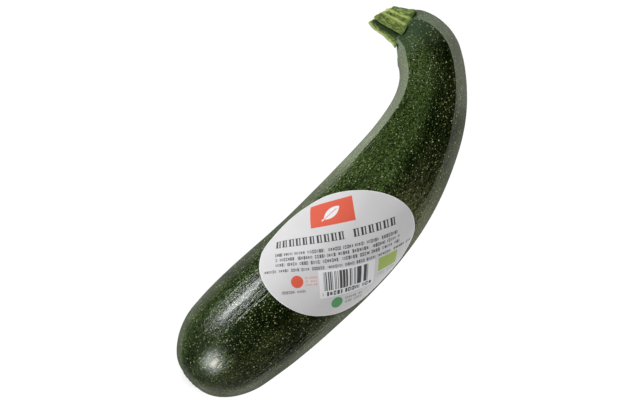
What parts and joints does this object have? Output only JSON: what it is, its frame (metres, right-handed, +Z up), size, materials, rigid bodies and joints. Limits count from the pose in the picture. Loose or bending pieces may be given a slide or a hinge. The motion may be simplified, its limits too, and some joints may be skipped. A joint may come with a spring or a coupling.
{
  "type": "courgette",
  "caption": "Whole courgette lying on its side: bent dark green fruit with speckled skin, cut ridged stem and an oval sticker round its belly.",
  "frame": {"origin": "under the middle of the object's plan box, on the surface it lies on", "axes": "+X along the longest extent from the blossom end to the stem end, +Y towards the side the neck bends to, +Z up"},
  "size_m": [0.2174, 0.0772, 0.0564],
  "materials": {
    "skin": "waxy dark green skin with fine pale speckles",
    "stem": "matte pale green stalk",
    "label": "satin printed sticker"
  },
  "bodies": {
    "root": {"fruit": "skin", "stem": "stem", "label": "label"}
  },
  "joints": []
}
